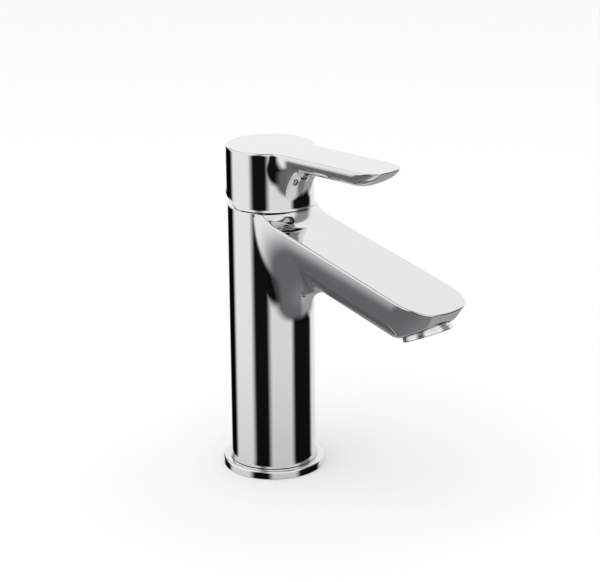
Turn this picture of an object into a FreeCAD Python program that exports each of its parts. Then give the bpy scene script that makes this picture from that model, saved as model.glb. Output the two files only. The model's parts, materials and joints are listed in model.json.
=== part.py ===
import FreeCAD, Part
import math
import os
from FreeCAD import Vector

os.makedirs("parts", exist_ok=True)

# Single-lever basin mixer. Millimetres, +Z up, +X along the spout.
# The origin is on the column's axis, in the plane of the deck that the faucet stands on.

# ---- Driving dimensions -------------------------------------------------------------

# column and base
COLUMN_R = 23.0
RIM_Z = 147.4                 # flat top rim of the column
COLUMN_BORE_R = 19.0          # open underside, for the two supply hoses and the fixing stud
BULKHEAD_Z = 96.0             # underside of the wall between the hose space and the cartridge
BASE_RING_R = 27.5
BASE_RING_H = 4.6
SPIGOT_R = 20.95              # the column's reduced foot, inside the base ring
GASKET_IN_R = 22.9
GASKET_OUT_R = 25.7
GASKET_H = 1.4

# spout: a boat-shaped hull with a flat top that falls towards the outlet
SPOUT_TOP_Z = 147.5           # height of the flat top's plane on the column's axis
SPOUT_FALL = 0.2512           # drop per millimetre of reach
SPOUT_HALF_W = 18.97          # half width on the axis, and how fast it widens with reach
SPOUT_WIDEN = 0.0148
SPOUT_DEPTH = 26.7
HULL_POWER = 3.0              # superellipse power of the hull's section
SPOUT_REACH = 126.7
CORNER_X = 116.5              # where the straight sides end and the rounded corners start
BOW_LEAN = 0.80               # how far the bow leans back per millimetre of depth
SPOUT_WALL = 4.2
TOP_FILLET = 6.5              # between the spout's flat top and the column
NECK_FILLET = 22.0            # between the spout's underside and the column

# cartridge, 35 mm standard
SEAT_Z = 112.0                # top of the bulkhead
CHAMBER_R = 17.6
THREAD_R = 19.0
THREAD_Z = 139.5              # where the wider nut thread starts
BASE_STEP_Z = 114.6
FIXED_DISC_Z = 117.6
MOVING_DISC_Z = 121.1
CARRIER_Z = 124.6
CARRIER_TOP_Z = 133.9
FLANGE_Z = 134.4              # rotor's foot
SHOULDER_Z = 138.4            # housing's ceiling
HOUSING_TOP_Z = 141.5
NECK_TOP_Z = 151.5
ROTOR_R = 10.5
ROTOR_TOP_Z = 152.6
PIN_Z = 141.5                 # axis that the lever lifts about
PIN_R = 1.6
ARM = 10.0                    # from the pin down to the spindle's ball
BALL_R = 3.0
SPINDLE_W = 7.8
SPINDLE_TOP_Z = 172.0
INLETS = [(-4.5, 6.5), (-4.5, -6.5)]
OUTLET = (6.5, 0.0)
PORT_R = 3.0
HOSE_THREAD_R = 4.5           # M10 x 1
HOSE_THREAD_L = 10.0
STUD_X = 10.0
STUD_R = 3.4                  # M8
STUD_DEPTH = 7.0
PORTS = INLETS + [OUTLET]
CARTRIDGE_R = 17.4
HOUSING_BORE_R = 15.2
NECK_R = 12.6
CARRIER_R = 11.0
SEAL_R = 4.1
SEAL_H = 1.2
KEY_PINS = [(3.0, 11.5), (3.0, -11.5)]
KEY_R = 1.9
KEY_L = 2.4

# lever
CAP_R = 23.45
CAP_Z = 148.1                 # lower edge of the cap's skirt
CAP_BORE_R = 21.2
LEVER_TOP_Z = 179.3
CAP_CEILING_Z = 174.6
TONGUE_HALF_W = 13.8
TONGUE_UNDER_Z = 171.5
TONGUE_REACH = 86.0
TONGUE_LEAN = 1.0
SKIRT_CUT_DEG = 22.0          # rear of the skirt is cut away so that the lever can tip
BOSS_R = 9.0
BOSS_Z = 162.0
INSERT_R = 7.2
SCREW_Z = 167.5
SCREW_R = 2.5
PLUG_R = 3.2
PLUG_PROUD = 0.3
DOME_R = 21.5
DOME_WALL = 1.2
DOME_HOLE_R = 14.0

# aerator, M24 x 1
AERATOR_X = 110.3             # centre of the flat that its flange sits on
AERATOR_Z = 102.1
AERATOR_TILT = 24.0
AERATOR_THREAD_R = 12.0
AERATOR_FLANGE_R = 13.0
AERATOR_FLANGE_H = 2.4
AERATOR_DEPTH = 8.5
AERATOR_BORE_R = 10.4
AERATOR_LIP_R = 9.6
AERATOR_STACK = 7.2           # height of the shell above the flat

GAP = 0.05                    # running or seating clearance


# ---- Helpers --------------------------------------------------------------------------

def lathe(outline):
    """Solid turned about the column's axis from a closed outline of (radius, height)."""
    corners = [Vector(r, 0, z) for r, z in outline]
    face = Part.Face(Part.makePolygon(corners + corners[:1]))
    return face.revolve(Vector(0, 0, 0), Vector(0, 0, 1), 360)


def ring(r_in, r_out, low, high):
    """Plain ring about the column's axis."""
    return lathe([(r_in, low), (r_out, low), (r_out, high), (r_in, high)])


def disc(radius, low, high, x=0.0, y=0.0):
    """Plain upright cylinder."""
    return Part.makeCylinder(radius, high - low, Vector(x, y, low))


def block(x0, x1, y0, y1, z0, z1):
    """Box between two corners."""
    return Part.makeBox(x1 - x0, y1 - y0, z1 - z0, Vector(x0, y0, z0))


def side_prism(points, half):
    """Prism across the faucet, from a closed outline of (x, z)."""
    corners = [Vector(x, -half, z) for x, z in points]
    return Part.Face(Part.makePolygon(corners + corners[:1])).extrude(Vector(0, 2 * half, 0))


def rounded(shape, radius, wanted):
    """Shape with the edges that the test wanted picks rounded off."""
    return shape.makeFillet(radius, [edge for edge in shape.Edges if wanted(edge)])


def is_circle(edge, radius, height):
    """True for a full or partial circle of that radius about the column's axis at that height."""
    middle = edge.valueAt((edge.FirstParameter + edge.LastParameter) / 2)
    level = abs(middle.z - height) < 0.01 and edge.BoundBox.ZLength < 0.01
    return level and abs(math.hypot(middle.x, middle.y) - radius) < 0.01


def is_on_column(edge):
    """True for an edge that lies on the column's wall, on the spout's side."""
    span = edge.LastParameter - edge.FirstParameter
    points = [edge.valueAt(edge.FirstParameter + span * step / 4) for step in range(5)]
    return edge.BoundBox.XMin > 5 and all(abs(math.hypot(p.x, p.y) - COLUMN_R) < 0.02 for p in points)


def at_aerator(shape):
    """Shape made about +Z, moved so that +Z runs up into the spout from the aerator's flat."""
    placed = shape.copy()
    turn = FreeCAD.Rotation(Vector(0, 1, 0), -AERATOR_TILT)
    placed.Placement = FreeCAD.Placement(Vector(AERATOR_X, 0, AERATOR_Z), turn)
    return placed


def save(shape, node):
    """Write one sub-part and say how big it is."""
    shape.exportStep("parts/" + node + ".step")
    print(node, "solids", len(shape.Solids), "valid", shape.isValid(), "cm3", round(shape.Volume / 1000, 2))


# ---- Casting: column, spout and waterways ---------------------------------------------

def spout_top(x):
    """Height of the spout's flat top at reach x."""
    return SPOUT_TOP_Z - SPOUT_FALL * x


def hull_wire(x, inset=0.0, steps=32):
    """Section of the hull at reach x: flat top, steep sides and a rounded keel (a superellipse)."""
    half = SPOUT_HALF_W + SPOUT_WIDEN * x - inset
    depth = SPOUT_DEPTH - 2 * inset
    top = spout_top(x) - inset
    points = []
    for step in range(steps + 1):
        angle = math.pi * step / steps
        across = math.copysign(abs(math.cos(angle)) ** (2 / HULL_POWER), math.cos(angle))
        down = abs(math.sin(angle)) ** (2 / HULL_POWER)
        points.append(Vector(x, half * across, top - depth * down))
    points[-1] = Vector(x, -half, top)
    curve = Part.BSplineCurve()
    curve.interpolate(points)
    return Part.Wire([curve.toShape(), Part.makeLine(points[-1], points[0])])


def bow():
    """Space that the spout's front stays inside: rounded plan corners, leaning back with depth."""
    def top_point(x, y):
        return Vector(x, y, spout_top(x))
    shoulder = 20.75
    front = SPOUT_REACH - 1.45
    rear_right = top_point(0, -24)
    rear_left = top_point(0, 24)
    right_start = top_point(CORNER_X, -shoulder)
    left_start = top_point(CORNER_X, shoulder)
    right_end = top_point(front, -10.5)
    left_end = top_point(front, 10.5)
    outline = Part.Wire([
        Part.makeLine(rear_right, right_start),
        Part.Arc(right_start, top_point(122.6, -16.6), right_end).toShape(),
        Part.Arc(right_end, top_point(SPOUT_REACH, 0), left_end).toShape(),
        Part.Arc(left_end, top_point(122.6, 16.6), left_start).toShape(),
        Part.makeLine(left_start, rear_left),
        Part.makeLine(rear_left, rear_right),
    ])
    outline.translate(Vector(BOW_LEAN, 0, 1))
    return Part.Face(outline).extrude(Vector(-BOW_LEAN * 60, 0, -60))


def nose():
    """Space above the flat that the aerator sits on, with a rounded turn up to the front edge."""
    fall = math.tan(math.radians(AERATOR_TILT))
    low_x = 40.0
    high_x = 122.4
    low_z = AERATOR_Z + (low_x - AERATOR_X) * fall
    high_z = AERATOR_Z + (high_x - AERATOR_X) * fall
    outline = [(0, 160), (SPOUT_REACH + 3, 160), (SPOUT_REACH + 1.2, spout_top(SPOUT_REACH) + 1)]
    outline += [(high_x, high_z), (low_x, low_z), (0, low_z)]
    prism = side_prism(outline, 30)

    def turn_edge(edge):
        middle = edge.CenterOfMass
        return abs(middle.x - high_x) < 0.01 and abs(middle.z - high_z) < 0.01

    return rounded(prism, 6, turn_edge)


def spout_outside():
    """Hull from inside the column out to the bow."""
    hull = Part.makeLoft([hull_wire(6.0), hull_wire(140.0)], True, True)
    return hull.common(bow()).common(nose())


def waterway():
    """Cored space in the spout, and its feed from the cartridge's outlet."""
    cavity = Part.makeLoft([hull_wire(42.0, SPOUT_WALL), hull_wire(99.0, SPOUT_WALL)], True, True)
    start = Vector(OUTLET[0], 0, SEAT_Z - 4)
    end = Vector(46, 0, 120)
    run = end.sub(start)
    feed = Part.makeCylinder(4, run.Length, start, run)
    drop = disc(PORT_R, SEAT_Z - 4, SEAT_Z, OUTLET[0], OUTLET[1])
    return cavity.fuse([feed, drop])


def make_body():
    """One brass casting: column, spout, bulkhead, waterways and the cartridge's chamber."""
    column = disc(COLUMN_R, BASE_RING_H, RIM_Z + 30)
    column.rotate(Vector(0, 0, 0), Vector(0, 0, 1), 180)
    outside = column.fuse(spout_outside())
    creases = [edge for edge in outside.Edges if is_on_column(edge)]
    upper = [edge for edge in creases if edge.BoundBox.ZMin > 140]
    lower = [edge for edge in creases if edge.BoundBox.ZMin < 140]
    outside = outside.makeFillet(TOP_FILLET, upper).fuse(outside.makeFillet(NECK_FILLET, lower))
    outside = outside.cut(block(-40, 140, -40, 40, RIM_Z, RIM_Z + 40))
    outside = outside.fuse(disc(SPIGOT_R, 0, BASE_RING_H + 0.5))
    hollows = [
        disc(COLUMN_BORE_R, -1, BULKHEAD_Z),
        disc(CHAMBER_R, SEAT_Z, RIM_Z + 1),
        disc(THREAD_R, THREAD_Z, RIM_Z + 1),
        disc(STUD_R, BULKHEAD_Z - 1, BULKHEAD_Z + STUD_DEPTH, STUD_X, 0),
        waterway(),
        at_aerator(disc(AERATOR_THREAD_R, -20, AERATOR_DEPTH)),
    ]
    for x, y in INLETS:
        hollows.append(disc(HOSE_THREAD_R, BULKHEAD_Z - 1, BULKHEAD_Z + HOSE_THREAD_L, x, y))
        hollows.append(disc(PORT_R, BULKHEAD_Z, SEAT_Z + 1, x, y))
    for x, y in KEY_PINS:
        hollows.append(disc(KEY_R + GAP, SEAT_Z - KEY_L - 0.2, SEAT_Z + 1, x, y))
    return outside.cut(hollows)


# ---- Base -------------------------------------------------------------------------------

def make_base_ring():
    """Chrome ring that spreads the column's foot on the deck, grooved below and inside for seals."""
    plate = ring(SPIGOT_R + GAP, BASE_RING_R, 0, BASE_RING_H)
    plate = rounded(plate, 1.1, lambda edge: is_circle(edge, BASE_RING_R, BASE_RING_H))
    deck_groove = ring(GASKET_IN_R, GASKET_OUT_R, -1, GASKET_H)
    foot_groove = ring(SPIGOT_R, SPIGOT_R + 1.3, 2.0, 3.4)
    return plate.cut([deck_groove, foot_groove])


def make_base_gasket():
    """Rubber ring in the groove under the base ring."""
    return ring(GASKET_IN_R + GAP, GASKET_OUT_R - GAP, 0, GASKET_H)


def make_base_o_ring():
    """O-ring between the base ring and the column's foot."""
    return Part.makeTorus(SPIGOT_R + 0.65, 0.6, Vector(0, 0, 2.7))


# ---- Cartridge: fixed parts -------------------------------------------------------------

def make_cartridge_base():
    """Plastic base with two inlets, one outlet, two key pins and pockets for the seals."""
    base = disc(CARTRIDGE_R, SEAT_Z, BASE_STEP_Z).fuse(disc(HOUSING_BORE_R - 0.1, SEAT_Z, FIXED_DISC_Z))
    pins = [disc(KEY_R, SEAT_Z - KEY_L, SEAT_Z, x, y) for x, y in KEY_PINS]
    holes = []
    for x, y in PORTS:
        holes.append(disc(PORT_R, SEAT_Z - 1, FIXED_DISC_Z + 1, x, y))
        holes.append(disc(SEAL_R, SEAT_Z - 1, SEAT_Z + SEAL_H, x, y))
        holes.append(disc(SEAL_R, FIXED_DISC_Z - SEAL_H, FIXED_DISC_Z + 1, x, y))
    return base.cut(holes).fuse(pins)


def port_rings(low, high):
    """Three separate rubber rings, one round each port."""
    rings = []
    for x, y in PORTS:
        outer = disc(SEAL_R - GAP, low, high, x, y)
        rings.append(outer.cut(disc(PORT_R, low - 1, high + 1, x, y)))
    return Part.makeCompound(rings)


def make_fixed_disc():
    """Lower ceramic disc, with three ports and two locating notches."""
    plate = disc(HOUSING_BORE_R - 0.2, FIXED_DISC_Z, MOVING_DISC_Z - GAP)
    cuts = [disc(PORT_R, FIXED_DISC_Z - 1, MOVING_DISC_Z, x, y) for x, y in PORTS]
    for side in (-1, 1):
        cuts.append(disc(1.2, FIXED_DISC_Z - 1, MOVING_DISC_Z, 0, side * (HOUSING_BORE_R - 0.2)))
    return plate.cut(cuts)


def make_cartridge_housing():
    """Plastic shell of the cartridge, with a shoulder for the nut and a neck round the rotor."""
    outline = [
        (HOUSING_BORE_R, BASE_STEP_Z),
        (CARTRIDGE_R, BASE_STEP_Z),
        (CARTRIDGE_R, HOUSING_TOP_Z),
        (NECK_R, HOUSING_TOP_Z),
        (NECK_R, NECK_TOP_Z),
        (ROTOR_R + GAP, NECK_TOP_Z),
        (ROTOR_R + GAP, SHOULDER_Z),
        (HOUSING_BORE_R, SHOULDER_Z),
    ]
    return lathe(outline)


def make_cartridge_nut():
    """Brass nut that clamps the cartridge down, with six wrench notches in its top."""
    nut = ring(NECK_R + 0.3, THREAD_R - GAP, HOUSING_TOP_Z, RIM_Z - 0.2)
    notches = []
    for step in range(6):
        notch = block(NECK_R + 3.4, THREAD_R + 1, -1.6, 1.6, RIM_Z - 2.6, RIM_Z + 1)
        notch.rotate(Vector(0, 0, 0), Vector(0, 0, 1), 60 * step + 30)
        notches.append(notch)
    nut = rounded(nut, 0.5, lambda edge: is_circle(edge, THREAD_R - GAP, HOUSING_TOP_Z))
    return nut.cut(notches)


def make_hot_limit_ring():
    """Toothed ring on the cartridge's neck that limits how far the lever turns to hot."""
    plate = ring(ROTOR_R + 0.2, NECK_R + 0.7, NECK_TOP_Z, NECK_TOP_Z + 2.4)
    teeth = []
    for step in range(18):
        tooth = block(NECK_R + 0.1, NECK_R + 2, -0.6, 0.6, NECK_TOP_Z - 1, NECK_TOP_Z + 3)
        tooth.rotate(Vector(0, 0, 0), Vector(0, 0, 1), 20 * step)
        teeth.append(tooth)
    return plate.cut(teeth)


def make_cover_dome():
    """Chrome cover over the cartridge: a ball-shaped band centred on the pin the lever tips about."""
    centre = Vector(0, 0, PIN_Z)
    shell = Part.makeSphere(DOME_R, centre).cut(Part.makeSphere(DOME_R - DOME_WALL, centre))
    top = PIN_Z + math.sqrt(DOME_R ** 2 - DOME_HOLE_R ** 2)
    return shell.common(disc(DOME_R + 1, RIM_Z, top))


# ---- Cartridge: moving parts ------------------------------------------------------------

def make_moving_disc():
    """Upper ceramic disc, with the hollow that joins the inlets to the outlet as it slides."""
    plate = disc(CARRIER_R, MOVING_DISC_Z, CARRIER_Z)
    hollow = disc(4.2, MOVING_DISC_Z - 1, MOVING_DISC_Z + 2, 0, 0)
    return plate.cut(hollow)


def make_disc_carrier():
    """Plastic carrier on the moving disc, with the slot that the spindle's ball works in."""
    plate = disc(CARRIER_R, CARRIER_Z, CARRIER_TOP_Z)
    reach = BALL_R + 0.15
    floor = PIN_Z - ARM - BALL_R - 0.3
    return plate.cut(block(-reach, reach, -reach, reach, floor, CARRIER_TOP_Z + 1))


def make_rotor():
    """Plastic rotor that turns in the neck; a fork carries the pin that the spindle tips about."""
    rotor = disc(HOUSING_BORE_R - 0.4, FLANGE_Z, FLANGE_Z + 3).fuse(disc(ROTOR_R, FLANGE_Z, ROTOR_TOP_Z))
    half = SPINDLE_W / 2 + 0.1
    upper = block(-8.9, SPINDLE_W / 2 + 0.3, -half, half, PIN_Z, ROTOR_TOP_Z + 1)
    lower = block(-4.3, 5.9, -half, half, FLANGE_Z - 1, PIN_Z + 0.1)
    bore = Part.makeCylinder(PIN_R, 40, Vector(0, -20, PIN_Z), Vector(0, 1, 0))
    return rotor.cut([upper, lower, bore])


def make_lever_pin():
    """Steel cross pin."""
    half = ROTOR_R - 0.4
    return Part.makeCylinder(PIN_R, 2 * half, Vector(0, -half, PIN_Z), Vector(0, 1, 0))


def make_spindle():
    """Brass spindle: square above the pin, a thin arm with a ball below it."""
    half = SPINDLE_W / 2
    bar = block(-half, half, -half, half, PIN_Z - 4, SPINDLE_TOP_Z)
    arm = disc(2.0, PIN_Z - ARM, PIN_Z - 3)
    ball = Part.makeSphere(BALL_R, Vector(0, 0, PIN_Z - ARM))
    bore = Part.makeCylinder(PIN_R + GAP, 40, Vector(0, -20, PIN_Z), Vector(0, 1, 0))
    return bar.fuse([arm, ball]).cut(bore)


# ---- Lever ------------------------------------------------------------------------------

def tongue():
    """Flat tongue of the lever: rounded tip that leans back, sides that thin out to the edge."""
    half = TONGUE_HALF_W
    section = [(-half, LEVER_TOP_Z), (half, LEVER_TOP_Z), (half, LEVER_TOP_Z - 3.2)]
    section += [(0.8 * half, LEVER_TOP_Z - 5.6), (0.4 * half, TONGUE_UNDER_Z)]
    section += [(-0.4 * half, TONGUE_UNDER_Z), (-0.8 * half, LEVER_TOP_Z - 5.6), (-half, LEVER_TOP_Z - 3.2)]
    corners = [Vector(0, y, z) for y, z in section]
    bar = Part.Face(Part.makePolygon(corners + corners[:1])).extrude(Vector(TONGUE_REACH + 5, 0, 0))

    def level(x, y):
        return Vector(x, y, LEVER_TOP_Z)
    corner_x = TONGUE_REACH - 9.5
    sag_x = TONGUE_REACH - 0.8
    corner_mid = TONGUE_REACH - 3.3
    start = [level(corner_x, side * (half + 0.05)) for side in (-1, 1)]
    middle = [level(corner_mid, side * (half - 2.6)) for side in (-1, 1)]
    end = [level(sag_x, side * 6) for side in (-1, 1)]
    rear = [level(-5, side * (half + 2)) for side in (-1, 1)]
    outline = Part.Wire([
        Part.makeLine(rear[0], start[0]),
        Part.Arc(start[0], middle[0], end[0]).toShape(),
        Part.Arc(end[0], level(TONGUE_REACH, 0), end[1]).toShape(),
        Part.Arc(end[1], middle[1], start[1]).toShape(),
        Part.makeLine(start[1], rear[1]),
        Part.makeLine(rear[1], rear[0]),
    ])
    tip = Part.Face(outline).extrude(Vector(-20 * TONGUE_LEAN, 0, -20))
    return bar.common(tip)


def make_lever_handle():
    """Cap and tongue in one casting, hollow below, with the boss that takes the spindle."""
    cap = disc(CAP_R, CAP_Z, LEVER_TOP_Z)
    cap.rotate(Vector(0, 0, 0), Vector(0, 0, 1), 180)
    outside = cap.fuse(tongue())
    rise = 30 * math.tan(math.radians(SKIRT_CUT_DEG))
    notch = side_prism([(0, CAP_Z - 5), (0, CAP_Z), (-30, CAP_Z + rise), (-30, CAP_Z - 5)], 30)
    inside = disc(CAP_BORE_R, CAP_Z - 1, CAP_CEILING_Z)
    shell = outside.cut([notch, inside])
    boss = disc(BOSS_R, BOSS_Z, CAP_CEILING_Z + 0.5)
    socket = disc(INSERT_R, BOSS_Z - 1, SPINDLE_TOP_Z + 1.5)
    thread = Part.makeCylinder(SCREW_R + GAP, 30, Vector(0, 0, SCREW_Z), Vector(-1, 0, 0))
    window = Part.makeCylinder(PLUG_R + GAP, 30, Vector(-BOSS_R - 2, 0, SCREW_Z), Vector(-1, 0, 0))
    return shell.fuse(boss).cut([socket, thread, window])


def make_handle_insert():
    """Plastic insert with the square socket that grips the spindle."""
    half = SPINDLE_W / 2 + GAP
    insert = disc(INSERT_R - GAP, BOSS_Z, SPINDLE_TOP_Z + 1)
    square = block(-half, half, -half, half, BOSS_Z - 1, SPINDLE_TOP_Z)
    thread = Part.makeCylinder(SCREW_R + GAP, 30, Vector(0, 0, SCREW_Z), Vector(-1, 0, 0))
    return insert.cut([square, thread])


def make_handle_screw():
    """Grub screw that holds the lever on the spindle, with a hexagon socket."""
    tip_x = -SPINDLE_W / 2
    screw = Part.makeCylinder(SCREW_R, BOSS_R + tip_x, Vector(tip_x, 0, SCREW_Z), Vector(-1, 0, 0))
    corners = []
    for step in range(7):
        angle = math.radians(60 * step)
        corners.append(Vector(-BOSS_R - 1, 1.4 * math.cos(angle), SCREW_Z + 1.4 * math.sin(angle)))
    return screw.cut(Part.Face(Part.makePolygon(corners)).extrude(Vector(3.4, 0, 0)))


def make_index_plug():
    """Small plug that closes the window in front of the grub screw."""
    length = CAP_R + PLUG_PROUD - CAP_BORE_R
    stem = Part.makeCylinder(PLUG_R, length, Vector(-CAP_BORE_R, 0, SCREW_Z), Vector(-1, 0, 0))
    face_x = -CAP_R - PLUG_PROUD
    return rounded(stem, 0.5, lambda edge: abs(edge.CenterOfMass.x - face_x) < 0.01)


# ---- Aerator ----------------------------------------------------------------------------

def make_aerator_shell():
    """Chrome ring screwed into the spout, with a knurl-free flange below."""
    outline = [
        (AERATOR_LIP_R, -AERATOR_FLANGE_H),
        (AERATOR_FLANGE_R, -AERATOR_FLANGE_H),
        (AERATOR_FLANGE_R, 0),
        (AERATOR_THREAD_R - GAP, 0),
        (AERATOR_THREAD_R - GAP, AERATOR_STACK),
        (AERATOR_BORE_R, AERATOR_STACK),
        (AERATOR_BORE_R, -AERATOR_FLANGE_H + 1),
        (AERATOR_LIP_R, -AERATOR_FLANGE_H + 1),
    ]
    shell = lathe(outline)
    shell = rounded(shell, 0.4, lambda edge: is_circle(edge, AERATOR_FLANGE_R, -AERATOR_FLANGE_H))
    return at_aerator(shell)


def hole_grid(radius, spread, low, high):
    """Upright holes on a triangular grid, six round each one, out to the radius spread."""
    holes = []
    rows = 3
    pitch = spread / rows
    for row in range(-rows, rows + 1):
        for column in range(-rows, rows + 1):
            x = pitch * (column + row / 2)
            y = pitch * row * math.sqrt(3) / 2
            if math.hypot(x, y) <= spread + 0.01:
                holes.append(disc(radius, low, high, x, y))
    return holes


def make_aerator_insert():
    """Plastic jet former with a grid of holes."""
    low = -AERATOR_FLANGE_H + 1 + GAP
    plate = disc(AERATOR_BORE_R - GAP, low, 3.6)
    return at_aerator(plate.cut(hole_grid(0.95, 7.8, low - 1, 5)))


def make_aerator_screen():
    """Thin steel screen above the jet former."""
    plate = disc(AERATOR_BORE_R - GAP, 3.7, 4.0)
    return at_aerator(plate.cut(hole_grid(0.6, 8.4, 3, 5)))


def make_flow_regulator():
    """Plastic flow regulator with a ring-shaped throat and three webs."""
    plate = disc(AERATOR_BORE_R - GAP, 4.1, AERATOR_STACK - 0.1)
    throat = ring(3.0, 6.0, 3, 8)
    webs = []
    for step in range(3):
        web = block(0, 7, -0.8, 0.8, 4.1, 5.3)
        web.rotate(Vector(0, 0, 0), Vector(0, 0, 1), 120 * step)
        webs.append(web)
    return at_aerator(plate.cut(throat).fuse(webs))


def make_aerator_washer():
    """Rubber washer at the top of the aerator's thread."""
    return at_aerator(ring(8.6, AERATOR_THREAD_R - GAP, AERATOR_STACK, AERATOR_DEPTH - 0.1))


save(make_body(), "body")
save(make_base_ring(), "base_ring")
save(make_base_gasket(), "base_gasket")
save(make_base_o_ring(), "base_o_ring")
save(make_cartridge_base(), "cartridge_base")
save(port_rings(SEAT_Z, SEAT_Z + SEAL_H), "port_seals")
save(port_rings(FIXED_DISC_Z - SEAL_H, FIXED_DISC_Z), "disc_seals")
save(make_fixed_disc(), "fixed_disc")
save(make_cartridge_housing(), "cartridge_housing")
save(make_cartridge_nut(), "cartridge_nut")
save(ring(ROTOR_R + 0.3, HOUSING_BORE_R - 0.5, FLANGE_Z + 3 + GAP, SHOULDER_Z), "glide_ring")
save(make_hot_limit_ring(), "hot_limit_ring")
save(make_cover_dome(), "cover_dome")
save(make_moving_disc(), "moving_disc")
save(make_disc_carrier(), "disc_carrier")
save(make_rotor(), "rotor")
save(make_lever_pin(), "lever_pin")
save(make_spindle(), "spindle")
save(make_lever_handle(), "lever_handle")
save(make_handle_insert(), "handle_insert")
save(make_handle_screw(), "handle_screw")
save(make_index_plug(), "index_plug")
save(make_aerator_shell(), "aerator_shell")
save(make_aerator_insert(), "aerator_insert")
save(make_aerator_screen(), "aerator_screen")
save(make_flow_regulator(), "flow_regulator")
save(make_aerator_washer(), "aerator_washer")
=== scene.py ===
# %% [markdown]
# # A single-lever basin mixer in chrome
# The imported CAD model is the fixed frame: its nodes, bodies and joints say where everything is and how it
# moves. This file gives the faucet its looks. The outside of a faucet is nearly all polished chrome, and
# chrome shows every fault of a surface, because what the eye sees is the room reflected in it. So the outer
# skins are built again here as fine meshes with exact normals, and the parts inside keep their CAD meshes
# and get real materials.

# %% Load the frame
import json
import math
import bmesh
import bpy
import numpy as np
from mathutils import Matrix, Vector


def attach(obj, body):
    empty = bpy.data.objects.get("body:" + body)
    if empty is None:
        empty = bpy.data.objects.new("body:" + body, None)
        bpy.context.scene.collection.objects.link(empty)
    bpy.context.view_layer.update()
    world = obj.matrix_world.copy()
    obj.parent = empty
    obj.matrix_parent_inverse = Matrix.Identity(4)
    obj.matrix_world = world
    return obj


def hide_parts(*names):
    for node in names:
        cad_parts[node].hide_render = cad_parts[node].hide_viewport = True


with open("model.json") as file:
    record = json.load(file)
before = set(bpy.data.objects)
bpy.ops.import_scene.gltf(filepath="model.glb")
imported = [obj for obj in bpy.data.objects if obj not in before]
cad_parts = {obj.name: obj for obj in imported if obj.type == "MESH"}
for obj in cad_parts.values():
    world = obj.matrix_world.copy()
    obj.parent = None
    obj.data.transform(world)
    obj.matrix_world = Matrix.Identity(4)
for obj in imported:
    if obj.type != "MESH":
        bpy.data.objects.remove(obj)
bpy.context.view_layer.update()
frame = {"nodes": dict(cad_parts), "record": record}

nodes = frame["nodes"]
MM = 0.001

# %% [markdown]
# ## Camera
# A long lens from about a metre away, a little above the faucet, looking at the side of the spout. The
# values are a place, a direction as azimuth and elevation, and a very small roll.

# %% Camera
def make_camera(place, azimuth, elevation, roll, lens):
    """Camera whose back vector is (sin az cos el, -cos az cos el, sin el), then rolled about it."""
    az, el, tilt = math.radians(azimuth), math.radians(elevation), math.radians(roll)
    back = Vector((math.sin(az) * math.cos(el), -math.cos(az) * math.cos(el), math.sin(el)))
    level = Vector((math.cos(az), math.sin(az), 0))
    upright = back.cross(level)
    right = level * math.cos(tilt) + upright * math.sin(tilt)
    up = back.cross(right)
    turn = Matrix((right, up, back)).transposed().to_4x4()
    data = bpy.data.cameras.new("camera")
    data.lens = lens
    data.clip_start = 0.01
    camera = bpy.data.objects.new("camera", data)
    camera.matrix_world = Matrix.Translation(place) @ turn
    bpy.context.scene.collection.objects.link(camera)
    bpy.context.scene.camera = camera
    return camera


CAMERA_PLACE = (0.6981, -0.6780, 0.4154)
CAMERA_AZIMUTH, CAMERA_ELEVATION, CAMERA_ROLL = 44.95, 18.07, -0.50
LENS = 114.4
camera = make_camera(CAMERA_PLACE, CAMERA_AZIMUTH, CAMERA_ELEVATION, CAMERA_ROLL, LENS)
print("camera", [round(c, 3) for c in camera.matrix_world.translation])

# %% [markdown]
# ## Skins from distance functions
# The column, the spout and the big soft neck between them are one casting with no sharp step. A
# rolling-ball fillet between a cylinder and a boat hull is hard to draw as patches, but easy to say as a
# distance: each simple shape is a function that is negative inside, and two of them are joined with a
# rounded minimum. A surface net then puts one vertex in each grid cell that the surface crosses, and a few
# Newton steps move it onto the surface. The normal comes from the same function, so reflections run over
# the mesh without facets.

# %% Rounded joins and cuts of distance functions
SLOPE_STEP = 0.02
JOIN_UNDER = 1.5


def slope_of(field, points):
    """Unit gradient of the field by forward differences, one row per point."""
    here = field(*points.T)
    slope = np.empty_like(points)
    for axis in range(3):
        shift = np.zeros(3)
        shift[axis] = SLOPE_STEP
        slope[:, axis] = field(*(points + shift).T) - here
    return slope / np.maximum(np.linalg.norm(slope, axis=1), 1e-9)[:, None]


def rolling_join(first, second, radius):
    """Union with the fillet of a ball of that radius that rolls touching both surfaces.

    With u and v the radius less each distance, and c the cosine between the two slopes, the ball's
    centre is sqrt(u^2 + v^2 - 2 c u v) / sin away. It counts where both u - c v and v - c u are positive,
    and it is worked out only within two radii of the surfaces and just under them.
    """
    def field(x, y, z):
        a, b = first(x, y, z), second(x, y, z)
        size = radius(x, y, z) if callable(radius) else radius + 0 * a
        result = np.minimum(a, b)
        near = (np.maximum(a, b) < 2 * size) & (result > -JOIN_UNDER)
        points = np.stack([x[near], y[near], z[near]], 1)
        cosine = np.sum(slope_of(first, points) * slope_of(second, points), 1)
        cosine = np.clip(cosine, -0.999, 0.999)
        r = size[near]
        u, v = r - a[near], r - b[near]
        reach = np.sqrt(np.maximum(u * u + v * v - 2 * cosine * u * v, 0) / (1 - cosine ** 2))
        touches = (u > cosine * v) & (v > cosine * u)
        result[near] = np.where(touches, r - reach, result[near])
        return result
    return field


def round_cut(a, b, radius):
    """Intersection with a rounded edge: the length of (radius + a, radius + b), less radius."""
    u = np.maximum(radius + a, 0)
    v = np.maximum(radius + b, 0)
    return np.minimum(-radius, np.maximum(a, b)) + np.sqrt(u * u + v * v)


def ease(value, start, end):
    """0 before start, 1 after end, and 3t^2 - 2t^3 between."""
    t = np.clip((value - start) / (end - start), 0, 1)
    return t * t * (3 - 2 * t)


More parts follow.
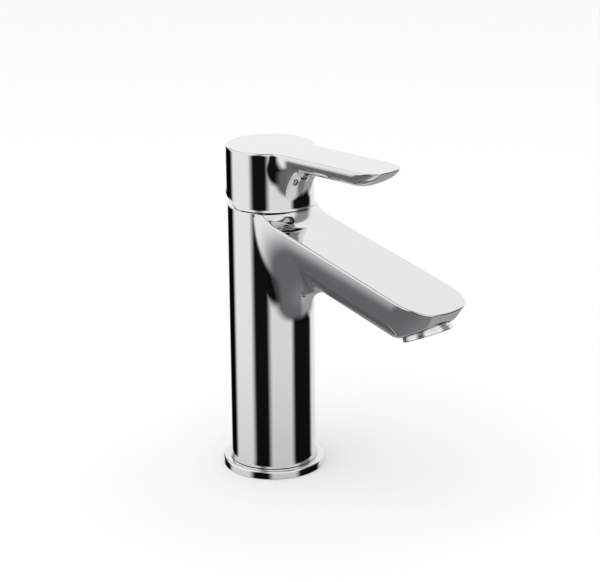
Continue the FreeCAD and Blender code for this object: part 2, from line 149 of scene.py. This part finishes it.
def gradient(field, points):
    """Slope of the field by central differences along X, Y and Z."""
    slope = np.empty_like(points)
    for axis in range(3):
        shift = np.zeros(3)
        shift[axis] = SLOPE_STEP
        ahead = field(*(points + shift).T)
        behind = field(*(points - shift).T)
        slope[:, axis] = (ahead - behind) / (2 * SLOPE_STEP)
    return slope


# %% Surface net
NEWTON_STEPS, LEAST_SLOPE = 8, 0.2


def surface_net(field, low, high, cell):
    """Quads over field = 0: one vertex per crossed cell, one quad per crossed grid edge."""
    axes = [np.arange(low[k], high[k] + cell, cell) for k in range(3)]
    grid = np.meshgrid(*axes, indexing="ij")
    inside = field(*grid) < 0
    count = np.zeros([len(a) - 1 for a in axes], int)
    for i in (0, 1):
        for j in (0, 1):
            for k in (0, 1):
                count += inside[i:len(axes[0]) - 1 + i, j:len(axes[1]) - 1 + j, k:len(axes[2]) - 1 + k]
    crossed = (count > 0) & (count < 8)
    cells = np.argwhere(crossed)
    index = np.full(crossed.shape, -1)
    index[crossed] = np.arange(len(cells))
    points = np.array(low) + (cells + 0.5) * cell
    for _ in range(NEWTON_STEPS):
        slope = gradient(field, points)
        away = field(*points.T) / np.maximum((slope ** 2).sum(1), LEAST_SLOPE)
        points -= np.clip(away, -cell, cell)[:, None] * slope
    quads = []
    for axis in range(3):
        first, second = (axis + 1) % 3, (axis + 2) % 3
        start = np.moveaxis(inside, (axis, first, second), (0, 1, 2))
        ids = np.moveaxis(index, (axis, first, second), (0, 1, 2))
        leaves = start[:-1, 1:-1, 1:-1] & ~start[1:, 1:-1, 1:-1]
        enters = ~start[:-1, 1:-1, 1:-1] & start[1:, 1:-1, 1:-1]
        corners = [ids[:, :-1, :-1], ids[:, 1:, :-1], ids[:, 1:, 1:], ids[:, :-1, 1:]]
        quads.append(np.stack([c[leaves] for c in corners], 1))
        quads.append(np.stack([c[enters] for c in corners[::-1]], 1))
    quads = np.concatenate(quads)
    return points, quads[(quads >= 0).all(1)]


def mesh_from(name, points, faces):
    """Mesh object in metres from points in millimetres."""
    mesh = bpy.data.meshes.new(name)
    mesh.from_pydata((np.asarray(points) * MM).tolist(), [], np.asarray(faces).tolist())
    mesh.update()
    piece = bpy.data.objects.new(name, mesh)
    bpy.context.scene.collection.objects.link(piece)
    return piece

# %% [markdown]
# ## The casting
# The spout's hull is a superellipse section: flat top, sides that lean in a little and round into the keel.
# Its plan ends in a shallow arc with rounded corners and leans back with depth, like a bow. A flat facet
# under the bow carries the aerator. The hull's sides run into the column with a large fillet, and the flat
# top with a small one; where the two fillets meet there is a crisp edge that rises to the rim.

# %% Shape of the casting, in millimetres
COLUMN_R = 23.0
RIM_Z = 147.4
SPOUT_TOP_Z, SPOUT_FALL = 147.5, 0.2512
SPOUT_HALF_W, SPOUT_WIDEN, SPOUT_DEPTH = 18.97, 0.0148, 27.6
HULL_POWER, SIDE_SLANT = 2.4, 0.10
FACET_ROUND = 2.2
SPOUT_REACH = 126.7
FRONT_ARC_R = 38.0
CORNER_R = 9.5
BOW_LEAN = 0.60
NECK_FILLET, NECK_FILLET_GROWS, TOP_FILLET, EDGE_R = 22.0, 3.0, 9.0, 0.9
NECK_GROWS_FROM_Z, NECK_GROWS_TO_Z = 104, 140
EDGE_STARTS, EDGE_GROWS_OVER = 0.3, 2.5
AERATOR_TILT = math.radians(24)
FLAT_X, FLAT_Z = 110.3, 102.1
SOCKET_R, SOCKET_DEPTH = 12.0, 8.5
TOP_COS = 1 / math.sqrt(1 + SPOUT_FALL ** 2)


def superellipse(y, depth, half, full, power):
    """First-order distance to |y / half|^p + |depth / full|^p = 1: (value - 1) / its slope."""
    u = np.abs(y) / half
    v = np.maximum(depth, 0) / full
    size = np.maximum((u ** power + v ** power) ** (1 / power), 1e-6)
    du = (u / size) ** (power - 1) / half
    dv = (v / size) ** (power - 1) / full
    return (size - 1) / np.sqrt(du * du + dv * dv + 1e-9)


def front_arc(x, y, reach, radius):
    """Distance to a shallow arc across a bar's end: a circle ahead of its centre, straight sides behind."""
    return np.hypot(np.maximum(x - reach + radius, 0), y) - radius


def column_wall(x, y, z):
    return np.hypot(x, y) - COLUMN_R


def flat_top(x, y, z):
    return (z - SPOUT_TOP_Z + SPOUT_FALL * x) * TOP_COS


def facet(x, y, z):
    return (x - FLAT_X) * math.sin(AERATOR_TILT) - (z - FLAT_Z) * math.cos(AERATOR_TILT)


def hull(x, y, z):
    """Spout without its flat top: side walls, bow and facet, from inside the column outwards."""
    depth = np.maximum(-flat_top(x, y, z), 0)
    half = SPOUT_HALF_W + SPOUT_WIDEN * x - SIDE_SLANT * depth
    sides = superellipse(y, depth, half, SPOUT_DEPTH, HULL_POWER)
    front = front_arc(x + BOW_LEAN * depth, y, SPOUT_REACH, FRONT_ARC_R) / math.hypot(1, BOW_LEAN)
    bow = round_cut(round_cut(front, sides, CORNER_R), facet(x, y, z), FACET_ROUND)
    return round_cut(bow, -x, 0)


def aerator_socket(x, y, z):
    along = (x - FLAT_X) * math.cos(AERATOR_TILT) + (z - FLAT_Z) * math.sin(AERATOR_TILT)
    return np.maximum(np.hypot(along, y) - SOCKET_R, -facet(x, y, z) - SOCKET_DEPTH)


def neck_fillet(x, y, z):
    """Radius below the spout, growing to the larger one beside it."""
    return NECK_FILLET + NECK_FILLET_GROWS * ease(z, NECK_GROWS_FROM_Z, NECK_GROWS_TO_Z)


def casting(x, y, z):
    """Column and hull with the neck's fillet, under a roof of the flat top with its own fillet.

    The edge between them is crisp at the column's wall and grows to its full round away from it.
    """
    column = column_wall(x, y, z)
    below = rolling_join(column_wall, hull, neck_fillet)(x, y, z)
    roof = rolling_join(column_wall, flat_top, TOP_FILLET)(x, y, z)
    edge = EDGE_R * np.clip((column - EDGE_STARTS) / EDGE_GROWS_OVER, 0, 1)
    return np.maximum(round_cut(below, roof, edge), -aerator_socket(x, y, z))


def sheared_casting(x, y, height):
    """The casting with the spout's top laid level: z = height - fall * x. The net's rows follow its edges."""
    return casting(x, y, height - SPOUT_FALL * x)


CASTING_LOW, CASTING_HIGH, CASTING_CELL = (-25, -25, 60), (130, 25, 155.5), 0.62
skin_points, skin_quads = surface_net(sheared_casting, CASTING_LOW, CASTING_HIGH, CASTING_CELL)
skin_points[:, 2] -= SPOUT_FALL * skin_points[:, 0]
print("casting skin:", len(skin_points), "vertices,", len(skin_quads), "quads")

# %% Closing a skin into a solid
def trim(bm, point, normal):
    """Cut the skin with a plane and throw away the side that the normal points to."""
    everything = bm.verts[:] + bm.edges[:] + bm.faces[:]
    bmesh.ops.bisect_plane(bm, geom=everything, plane_co=point, plane_no=normal, clear_outer=True)


def open_edges(bm, wanted):
    """Boundary edges whose middle passes the test."""
    return [e for e in bm.edges if e.is_boundary and wanted((e.verts[0].co + e.verts[1].co) / 2)]


def grow_ring(bm, edges, place):
    """Extrude a boundary loop and put each new vertex where place says, given the old one."""
    made = bmesh.ops.extrude_edge_only(bm, edges=edges)["geom"]
    for vert in made:
        if isinstance(vert, bmesh.types.BMVert):
            vert.co = place(vert.co)
    return [e for e in made if isinstance(e, bmesh.types.BMEdge)]


def at_radius(radius, height):
    """A place on the circle of that radius and height, in the same direction from the axis."""
    def place(co):
        scale = radius / math.hypot(co.x, co.y)
        return Vector((co.x * scale, co.y * scale, height))
    return place


def close_rings(bm, edges, rings):
    """Grow the loop through each (radius, height) in turn, then fill what is left."""
    for radius, height in rings:
        edges = grow_ring(bm, edges, at_radius(radius, height))
    bmesh.ops.holes_fill(bm, edges=edges, sides=0)


def solid_from(name, bm, field, outer_faces):
    """Mesh object from the closed skin; outer faces take the field's own normals."""
    bmesh.ops.recalc_face_normals(bm, faces=bm.faces)
    bm.faces.index_update()
    chosen = np.zeros(len(bm.faces), bool)
    chosen[[face.index for face in outer_faces]] = True
    mesh = bpy.data.meshes.new(name)
    bm.to_mesh(mesh)
    bm.free()
    mesh.shade_smooth()
    mesh.set_sharp_from_angle(angle=math.radians(30))
    coords = np.empty(len(mesh.vertices) * 3)
    mesh.vertices.foreach_get("co", coords)
    coords = coords.reshape(-1, 3)
    slope = gradient(field, coords)
    slope /= np.linalg.norm(slope, axis=1)[:, None]
    corner_vertex = np.empty(len(mesh.loops), int)
    mesh.loops.foreach_get("vertex_index", corner_vertex)
    sizes = np.empty(len(mesh.polygons), int)
    mesh.polygons.foreach_get("loop_total", sizes)
    normals = slope[corner_vertex]
    normals[~np.repeat(chosen, sizes)] = 0
    mesh.transform(Matrix.Scale(MM, 4))
    mesh.normals_split_custom_set(normals.tolist())
    piece = bpy.data.objects.new(name, mesh)
    bpy.context.scene.collection.objects.link(piece)
    print(name, "triangles:", sum(p.loop_total - 2 for p in mesh.polygons))
    return piece


def bmesh_from(points, faces):
    """Working mesh in millimetres."""
    mesh = bpy.data.meshes.new("work")
    mesh.from_pydata(points.tolist(), [], faces.tolist())
    bm = bmesh.new()
    bm.from_mesh(mesh)
    bpy.data.meshes.remove(mesh)
    return bm


# %% The casting's solid
NET_FOOT_Z = 70.0
FLARE_Z, FLARE_OUT, FOOT_Z, FLARE_RINGS = 10.0, 1.1, 4.9, 9
SEAT_Z, SPIGOT_R, BORE_R, BORE_TOP_Z = 4.65, 20.95, 19.0, 96.0
RIM_CUT, RIM_BAND = 0.35, 0.5
SLEEVE_R, SLEEVE_Z, POCKET_R, POCKET_Z = 19.0, 139.5, 17.6, 112.0
work = bmesh_from(skin_points, skin_quads)
trim(work, (0, 0, RIM_Z - RIM_CUT), (0, 0, 1))
trim(work, (0, 0, NET_FOOT_Z), (0, 0, -1))
foot = open_edges(work, lambda middle: middle.z < NET_FOOT_Z + 0.1)
for drop in np.linspace(0, 1, FLARE_RINGS):
    height = FLARE_Z - (FLARE_Z - FOOT_Z) * drop
    foot = grow_ring(work, foot, at_radius(COLUMN_R + FLARE_OUT * drop ** 2, height))
outside = work.faces[:]
foot_rings = [(COLUMN_R + 0.6, SEAT_Z), (SPIGOT_R, SEAT_Z), (SPIGOT_R, 0), (BORE_R, 0), (BORE_R, BORE_TOP_Z)]
close_rings(work, foot, foot_rings)
rim = open_edges(work, lambda middle: middle.z > RIM_Z - RIM_BAND)
rim_rings = [(COLUMN_R - 0.08, RIM_Z - 0.17), (COLUMN_R - 0.3, RIM_Z), (SLEEVE_R, RIM_Z)]
rim_rings += [(SLEEVE_R, SLEEVE_Z), (POCKET_R, SLEEVE_Z), (POCKET_R, POCKET_Z)]
close_rings(work, rim, rim_rings)
body = solid_from("body_skin", work, casting, outside)
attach(body, "faucet")
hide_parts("body")

# %% [markdown]
# ## The lever
# The lever's cap is a short cylinder whose flat top runs on into a thin tongue. The tongue's underside is
# another flat superellipse, and it flows into the cap with a fillet that is smaller beside the top than
# below it. The skirt is cut level at the front and on a slope at the rear, where it has to swing down when
# the lever is lifted.

# %% Shape of the lever, in millimetres
CAP_R, CAP_Z, LEVER_TOP_Z = 23.45, 148.1, 179.3
TONGUE_HALF_W, TONGUE_DEPTH, TONGUE_POWER, TONGUE_REACH = 13.8, 9.8, 2.6, 86.0
TIP_ARC_R, TIP_CORNER_R, TIP_LEAN = 48.0, 8.0, 0.75
ROOT_FILLET, ROOT_FILLET_GROWS = 11.0, 6.0
ROOT_GROWS_FROM, ROOT_GROWS_TO = 1.0, 9.0
SKIRT_SLOPE = math.radians(22)


def cap_wall(x, y, z):
    return np.hypot(x, y) - CAP_R


def tongue(x, y, z):
    """Tongue without its flat top: sides and underside, and a tip that leans back with depth."""
    depth = np.maximum(LEVER_TOP_Z - z, 0)
    sides = superellipse(y, depth, TONGUE_HALF_W, TONGUE_DEPTH, TONGUE_POWER)
    front = front_arc(x + TIP_LEAN * depth, y, TONGUE_REACH, TIP_ARC_R) / math.hypot(1, TIP_LEAN)
    return round_cut(round_cut(front, sides, TIP_CORNER_R), -x, 0)


def lever_fillet(x, y, z):
    """Smaller beside the flat top, larger below the tongue."""
    return ROOT_FILLET + ROOT_FILLET_GROWS * ease(LEVER_TOP_Z - z, ROOT_GROWS_FROM, ROOT_GROWS_TO)


def lever(x, y, z):
    """Cap and tongue joined with the fillet, cut by the flat top."""
    below = rolling_join(cap_wall, tongue, lever_fillet)(x, y, z)
    return round_cut(below, z - LEVER_TOP_Z, EDGE_R)


LEVER_LOW, LEVER_HIGH, LEVER_CELL = (-25, -25, 147), (90, 25, 181), 0.55
lever_points, lever_quads = surface_net(lever, LEVER_LOW, LEVER_HIGH, LEVER_CELL)
print("lever skin:", len(lever_points), "vertices")

# %% The lever's solid
BEVEL = 1.2
LIP_OUT = 0.27
CAP_BORE_R, CAP_ROOF_Z = 21.2, 174.6
HUB_R, HUB_Z, HUB_BORE_R, HUB_BORE_Z = 9.0, 162.0, 7.2, 173.5
work = bmesh_from(lever_points, lever_quads)
trim(work, (0, 0, CAP_Z + BEVEL), (0, 0, -1))
trim(work, (0, 0, CAP_Z + BEVEL), (-math.sin(SKIRT_SLOPE), 0, -math.cos(SKIRT_SLOPE)))
outside = work.faces[:]


def skirt_step(drop, inward):
    """Move straight down and towards the axis."""
    def place(co):
        scale = 1 - inward / math.hypot(co.x, co.y)
        return Vector((co.x * scale, co.y * scale, co.z - drop))
    return place


skirt = open_edges(work, lambda middle: True)
lip_steps = [(0.2, -0.02), (0.9, 0.02 - LIP_OUT), (0.1, 0.1), (0.0, CAP_R + LIP_OUT - 0.1 - CAP_BORE_R)]
for drop, inward in lip_steps:
    skirt = grow_ring(work, skirt, skirt_step(drop, inward))
cap_rings = [(CAP_BORE_R, CAP_ROOF_Z), (HUB_R, CAP_ROOF_Z), (HUB_R, HUB_Z), (HUB_BORE_R, HUB_Z)]
cap_rings += [(HUB_BORE_R, HUB_BORE_Z)]
close_rings(work, skirt, cap_rings)
handle = solid_from("lever_skin", work, lever, outside)
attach(handle, "lever")
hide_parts("lever_handle")

# %% [markdown]
# ## Turned parts
# The base ring, the cover dome and the aerator's shell are turned on a lathe, so each is one outline
# carried round an axis. Every corner of the outline gets its own small round, because a real edge always
# catches a line of light.

# %% Outlines with rounded corners, and the lathe
def rounded_outline(corners, steps=6):
    """Closed outline: each (radius, height, round) corner becomes an arc tangent to its two sides."""
    pts = np.array([c[:2] for c in corners], float)
    out = []
    for i, corner in enumerate(pts):
        size = corners[i][2]
        if size == 0:
            out.append(corner[None])
            continue
        before = pts[i - 1] - corner
        after = pts[(i + 1) % len(pts)] - corner
        before /= np.linalg.norm(before)
        after /= np.linalg.norm(after)
        half = math.acos(np.clip(before @ after, -1, 1)) / 2
        middle = corner + (before + after) / np.linalg.norm(before + after) * size / math.sin(half)
        start = corner + before * size / math.tan(half) - middle
        end = corner + after * size / math.tan(half) - middle
        t = np.linspace(0, 1, steps + 1)[:, None]
        spread = math.pi - 2 * half
        arc = (np.sin((1 - t) * spread) * start + np.sin(t * spread) * end) / math.sin(spread)
        out.append(middle + arc)
    return np.concatenate(out)


def turned(name, outline, segments=192, place=None):
    """Grid of outline x angle: (r cos a, r sin a, z), closed both ways, then moved by place."""
    angle = np.arange(segments) * 2 * math.pi / segments
    radius, height = outline[:, 0][:, None], outline[:, 1][:, None]
    grid = np.stack(np.broadcast_arrays(radius * np.cos(angle), radius * np.sin(angle), height), -1)
    ids = np.arange(grid.shape[0] * segments).reshape(grid.shape[:2])
    ahead, right = np.roll(ids, -1, 0), np.roll(ids, -1, 1)
    quads = np.stack([ids, right, np.roll(ahead, -1, 1), ahead], -1).reshape(-1, 4)
    area = np.sum(outline[:, 0] * np.roll(outline[:, 1], -1) - np.roll(outline[:, 0], -1) * outline[:, 1])
    if area < 0:
        quads = quads[:, ::-1]
    piece = mesh_from(name, grid.reshape(-1, 3), quads)
    if place is not None:
        piece.data.transform(place)
    piece.data.shade_smooth()
    piece.data.set_sharp_from_angle(angle=math.radians(35))
    weights = piece.modifiers.new("flat faces stay flat", "WEIGHTED_NORMAL")
    weights.keep_sharp = True
    print(name, "quads:", len(quads))
    return piece


# %% Base ring, cover dome and aerator shell
ring_outline = rounded_outline([(21.0, 0, 0), (27.5, 0, 0.25), (27.5, 4.6, 1.1), (21.0, 4.6, 0.2)], 8)
base_ring = turned("base_ring_skin", ring_outline, 256)

PIN_Z, DOME_R, DOME_WALL, DOME_HOLE_R = 141.5, 21.5, 1.2, 14.0
low = math.asin((RIM_Z - PIN_Z) / DOME_R)
high = math.acos(DOME_HOLE_R / DOME_R)
sweep = np.linspace(low, high, 24)
outer = np.stack([DOME_R * np.cos(sweep), PIN_Z + DOME_R * np.sin(sweep)], 1)
inner_r = DOME_R - DOME_WALL
inner = np.stack([inner_r * np.cos(sweep), PIN_Z + inner_r * np.sin(sweep)], 1)[::-1]
dome = turned("cover_dome_skin", np.concatenate([outer, inner]), 192)

aerator_place = Matrix.Translation((FLAT_X * MM, 0, FLAT_Z * MM)) @ Matrix.Rotation(-AERATOR_TILT, 4, "Y")
shell_corners = [(9.6, -2.4, 0.3), (13.0, -2.4, 0.45), (13.0, 0, 0.15), (11.95, 0, 0)]
shell_corners += [(11.95, 7.2, 0), (10.4, 7.2, 0), (10.4, -1.4, 0), (9.6, -1.4, 0)]
shell = turned("aerator_shell_skin", rounded_outline(shell_corners), 192, aerator_place)

for piece, node in ((base_ring, "base_ring"), (dome, "cover_dome"), (shell, "aerator_shell")):
    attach(piece, "faucet")
    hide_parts(node)

# %% [markdown]
# ## Finishes
# A finish is more than a colour. Polished chrome over a casting isn't perfectly even: its roughness drifts
# a little and it has fine wipe marks. Moulded plastic has a faint grain, rubber is dusty, turned brass has
# rings. One shared group makes the drifting mask and the fine height that all of them use, each with its
# own scale.

# %% Shared group: surface variation
def link(tree, source, target):
    tree.links.new(source, target)


def make_variation_group():
    """Object coordinates in; a slow mask, a fine mask and a fine height out."""
    group = bpy.data.node_groups.new("surface variation", "ShaderNodeTree")
    for name, value in (("Slow scale", 40.0), ("Fine scale", 1500.0), ("Stretch", 1.0)):
        socket = group.interface.new_socket(name, in_out="INPUT", socket_type="NodeSocketFloat")
        socket.default_value = value
    for name in ("Slow", "Fine", "Height"):
        group.interface.new_socket(name, in_out="OUTPUT", socket_type="NodeSocketFloat")
    add = group.nodes.new
    start, end = add("NodeGroupInput"), add("NodeGroupOutput")
    place = add("ShaderNodeTexCoord")
    stretch = add("ShaderNodeCombineXYZ")
    stretch.inputs["X"].default_value = 1
    stretch.inputs["Y"].default_value = 1
    link(group, start.outputs["Stretch"], stretch.inputs["Z"])
    scaled = add("ShaderNodeVectorMath")
    scaled.operation = "MULTIPLY"
    link(group, place.outputs["Object"], scaled.inputs[0])
    link(group, stretch.outputs["Vector"], scaled.inputs[1])
    slow, fine = add("ShaderNodeTexNoise"), add("ShaderNodeTexNoise")
    slow.inputs["Detail"].default_value = 3
    fine.inputs["Detail"].default_value = 4
    fine.inputs["Roughness"].default_value = 0.6
    link(group, place.outputs["Object"], slow.inputs["Vector"])
    link(group, scaled.outputs["Vector"], fine.inputs["Vector"])
    link(group, start.outputs["Slow scale"], slow.inputs["Scale"])
    link(group, start.outputs["Fine scale"], fine.inputs["Scale"])
    both = add("ShaderNodeMath")
    both.operation = "MULTIPLY"
    link(group, slow.outputs["Fac"], both.inputs[0])
    link(group, fine.outputs["Fac"], both.inputs[1])
    link(group, slow.outputs["Fac"], end.inputs["Slow"])
    link(group, fine.outputs["Fac"], end.inputs["Fine"])
    link(group, both.outputs["Value"], end.inputs["Height"])
    return group


variation = make_variation_group()


# %% A finish from a few plain values
def remap(tree, source, low_out, high_out):
    """Map a mask from 0.3 to 0.7 onto the range low_out to high_out."""
    node = tree.nodes.new("ShaderNodeMapRange")
    node.inputs["From Min"].default_value = 0.3
    node.inputs["From Max"].default_value = 0.7
    node.inputs["To Min"].default_value = low_out
    node.inputs["To Max"].default_value = high_out
    link(tree, source, node.inputs["Value"])
    return node.outputs["Result"]


def finish(name, dark, light, rough, metallic=0.0, slow=40.0, fine=1500.0, stretch=1.0, bump=0.1, depth=0.02,
           coat=0.0):
    """Principled material whose colour drifts from dark to light and whose roughness spans the pair rough."""
    material = bpy.data.materials.new(name)
    material.use_nodes = True
    tree = material.node_tree
    shader = tree.nodes["Principled BSDF"]
    shader.inputs["Metallic"].default_value = metallic
    shader.inputs["Coat Weight"].default_value = coat
    masks = tree.nodes.new("ShaderNodeGroup")
    masks.node_tree = variation
    masks.inputs["Slow scale"].default_value = slow
    masks.inputs["Fine scale"].default_value = fine
    masks.inputs["Stretch"].default_value = stretch
    colour = tree.nodes.new("ShaderNodeMix")
    colour.data_type = "RGBA"
    colour.inputs["A"].default_value = (*dark, 1)
    colour.inputs["B"].default_value = (*light, 1)
    link(tree, remap(tree, masks.outputs["Slow"], 0, 1), colour.inputs["Factor"])
    link(tree, colour.outputs["Result"], shader.inputs["Base Color"])
    link(tree, remap(tree, masks.outputs["Fine"], *rough), shader.inputs["Roughness"])
    height = tree.nodes.new("ShaderNodeBump")
    height.inputs["Strength"].default_value = bump
    height.inputs["Distance"].default_value = depth * MM
    link(tree, masks.outputs["Height"], height.inputs["Height"])
    link(tree, height.outputs["Normal"], shader.inputs["Normal"])
    return material


chrome = finish("polished chrome", (0.715, 0.715, 0.705), (0.735, 0.735, 0.725), (0.02, 0.035), metallic=1.0,
                slow=18.0, fine=260.0, bump=0.02, depth=0.01)
brass = finish("turned brass", (0.62, 0.44, 0.18), (0.80, 0.62, 0.30), (0.20, 0.34), metallic=1.0,
               slow=90.0, fine=1400.0, stretch=6.0, bump=0.25, depth=0.03)
steel = finish("ground steel", (0.50, 0.50, 0.51), (0.62, 0.62, 0.63), (0.24, 0.40), metallic=1.0,
               slow=120.0, fine=2200.0, stretch=4.0, bump=0.3, depth=0.02)
white_plastic = finish("white moulded plastic", (0.74, 0.74, 0.71), (0.82, 0.82, 0.80), (0.38, 0.50),
                       fine=2600.0, bump=0.2, depth=0.02)
grey_plastic = finish("grey moulded plastic", (0.20, 0.21, 0.22), (0.27, 0.28, 0.30), (0.36, 0.50),
                      fine=2600.0, bump=0.2, depth=0.02)
blue_plastic = finish("blue moulded plastic", (0.06, 0.14, 0.36), (0.10, 0.20, 0.46), (0.34, 0.46),
                      fine=2600.0, bump=0.2, depth=0.02)
ceramic = finish("lapped ceramic", (0.82, 0.80, 0.76), (0.90, 0.89, 0.86), (0.10, 0.18), fine=3500.0,
                 bump=0.05, depth=0.01, coat=0.3)
rubber = finish("black rubber", (0.018, 0.018, 0.018), (0.045, 0.044, 0.042), (0.55, 0.75), slow=150.0,
                fine=1800.0, bump=0.35, depth=0.03)

finishes = {"chrome": chrome, "brass": brass, "steel": steel, "ceramic": ceramic, "rubber": rubber,
            "white_plastic": white_plastic, "grey_plastic": grey_plastic, "blue_plastic": blue_plastic}
slot_of = {entry["node"]: entry["material_slot"] for entry in frame["record"]["subparts"]}
for node, piece in nodes.items():
    piece.data.materials.clear()
    piece.data.materials.append(finishes[slot_of[node]])
for piece in (body, handle, base_ring, dome, shell):
    piece.data.materials.append(chrome)
print("finishes given to", len(nodes), "nodes and 5 skins")

# %% [markdown]
# ## Floor and studio light
# The floor is plain and pale. The light is a bright tent all round with three dark flags and a faint one in
# it, and a grey well below, because polished metal has no look of its own: the soft white fields and the
# black bands on the column are the tent and its flags. The floor is left out of the reflections, so the
# tent shows below the horizon.

# %% Floor
FLOOR_SIZE = 6.0
bpy.ops.mesh.primitive_plane_add(size=FLOOR_SIZE, location=(0, 0, 0))
floor = bpy.context.object
floor.name = "floor"
floor.visible_glossy = False
floor_material = bpy.data.materials.new("pale floor")
floor_material.use_nodes = True
floor_shader = floor_material.node_tree.nodes["Principled BSDF"]
floor_shader.inputs["Base Color"].default_value = (0.94, 0.94, 0.94, 1)
floor_shader.inputs["Roughness"].default_value = 0.7
floor_shader.inputs["Specular IOR Level"].default_value = 0.0
floor.data.materials.append(floor_material)


# %% Light tent in the world
def make_tent(view_azimuth, flags):
    """World: white for camera and diffuse rays; for glossy rays a bright tent with soft dark flags.

    Azimuths are counted from the direction of the view and all angles are in degrees. The tent's level
    is GROUND below, TENT from the horizon up and low again at the zenith, with smooth steps between.
    Below, it is brighter straight down and towards BACK_AZIMUTH. A flag (from, to, strength) takes off
    that share of the light near the horizon and none of it far below, and above the horizon it is
    narrower and weaker. The dark parts are a little cool.
    """
    world = bpy.data.worlds.new("studio")
    bpy.context.scene.world = world
    world.use_nodes = True
    tree = world.node_tree
    background = tree.nodes["Background"]

    def math_node(operation, *values):
        node = tree.nodes.new("ShaderNodeMath")
        node.operation = operation
        for slot, value in enumerate(values):
            if isinstance(value, (int, float)):
                node.inputs[slot].default_value = value
            else:
                link(tree, value, node.inputs[slot])
        return node.outputs[0]

    def step(value, start, end, low=0.0, high=1.0):
        node = tree.nodes.new("ShaderNodeMapRange")
        node.interpolation_type = "SMOOTHSTEP"
        link(tree, value, node.inputs["Value"])
        node.inputs["From Min"].default_value = start
        node.inputs["From Max"].default_value = end
        node.inputs["To Min"].default_value = low
        node.inputs["To Max"].default_value = high
        return node.outputs["Result"]

    direction = tree.nodes.new("ShaderNodeTexCoord").outputs["Generated"]
    split = tree.nodes.new("ShaderNodeSeparateXYZ")
    link(tree, direction, split.inputs[0])
    x, y, z = split.outputs
    view_angle = math.radians(view_azimuth - 90)
    ahead = math_node("ADD", math_node("MULTIPLY", x, math.cos(view_angle)),
                      math_node("MULTIPLY", y, math.sin(view_angle)))
    aside = math_node("ADD", math_node("MULTIPLY", x, -math.sin(view_angle)),
                      math_node("MULTIPLY", y, math.cos(view_angle)))
    azimuth = math_node("MULTIPLY", math_node("ARCTAN2", aside, ahead), 180 / math.pi)
    elevation = math_node("MULTIPLY", math_node("ARCSINE", z), 180 / math.pi)
    light = step(elevation, *GROUND_TO_TENT, GROUND, TENT)
    light = math_node("ADD", light, step(elevation, *TENT_RISES, 0, TENT_RISE))
    light = math_node("ADD", light, step(elevation, *TO_NADIR, 0, NADIR_RISE))
    off_behind = math_node("MULTIPLY", math_node("SUBTRACT", azimuth, BACK_AZIMUTH), math.pi / 180)
    low_and_behind = math_node("MULTIPLY", step(math_node("COSINE", off_behind), *BACK_COSINES),
                               step(elevation, *BACK_DROP))
    light = math_node("ADD", light, math_node("MULTIPLY", low_and_behind, BACK_RISE))
    light = math_node("MULTIPLY", light, step(elevation, *TO_ZENITH, 1, ZENITH))
    narrow = step(elevation, *FLAG_NARROWS, 0, FLAG_TAPER)
    height = math_node("MULTIPLY", step(elevation, *FLAG_FOOT), step(elevation, *FLAG_FADES, 1, FLAG_ABOVE))
    for start, end, strength in flags:
        off_centre = math_node("ABSOLUTE", math_node("SUBTRACT", azimuth, (start + end) / 2))
        inside = math_node("SUBTRACT", math_node("SUBTRACT", (end - start) / 2, narrow), off_centre)
        dark = math_node("MULTIPLY", step(inside, -FLAG_SOFT, FLAG_SOFT, 0, strength), height)
        light = math_node("MULTIPLY", light, math_node("SUBTRACT", 1, dark))
    path = tree.nodes.new("ShaderNodeLightPath")
    mix = tree.nodes.new("ShaderNodeMix")
    mix.inputs["A"].default_value = 1.0
    link(tree, path.outputs["Is Glossy Ray"], mix.inputs["Factor"])
    link(tree, light, mix.inputs["B"])
    link(tree, mix.outputs["Result"], background.inputs["Strength"])
    tint = tree.nodes.new("ShaderNodeMix")
    tint.data_type = "RGBA"
    tint.inputs["A"].default_value = (*DARK_TINT, 1)
    tint.inputs["B"].default_value = (*LIGHT_TINT, 1)
    link(tree, mix.outputs["Result"], tint.inputs["Factor"])
    link(tree, tint.outputs["Result"], background.inputs["Color"])


TENT, TENT_RISE = 1.05, 0.03
GROUND, NADIR_RISE, BACK_RISE, BACK_AZIMUTH = 0.17, 0.08, 0.24, 145
ZENITH = 0.1
GROUND_TO_TENT, TENT_RISES, TO_NADIR, TO_ZENITH = (-34, -18), (-14, 15), (-45, -80), (62, 74)
BACK_COSINES, BACK_DROP = (0.4, 0.9), (-26, -36)
FLAG_SOFT, FLAG_TAPER, FLAG_ABOVE = 9.0, 14.0, 0.7
FLAG_FOOT, FLAG_NARROWS, FLAG_FADES = (-42, -26), (-14, 12), (-8, 14)
FLAGS = [(-52.5, -6, 0.993), (56.5, 125, 0.993), (-163, -117, 0.998), (-1, 51, 0.12)]
DARK_TINT, LIGHT_TINT = (0.92, 1.0, 1.03), (1.0, 1.0, 1.0)
make_tent(CAMERA_AZIMUTH, FLAGS)

# %% One soft lamp for the shadow on the floor
LAMP_PLACE = (0.2, -0.5, 1.5)
lamp_data = bpy.data.lights.new("soft lamp", "AREA")
lamp_data.shape = "DISK"
lamp_data.size = 1.2
lamp_data.energy = 3.0
lamp = bpy.data.objects.new("soft lamp", lamp_data)
lamp.location = LAMP_PLACE
lamp.rotation_euler = Vector(LAMP_PLACE).to_track_quat("Z", "Y").to_euler()
lamp.visible_glossy = False
bpy.context.scene.collection.objects.link(lamp)
bpy.context.scene.view_settings.view_transform = "Standard"
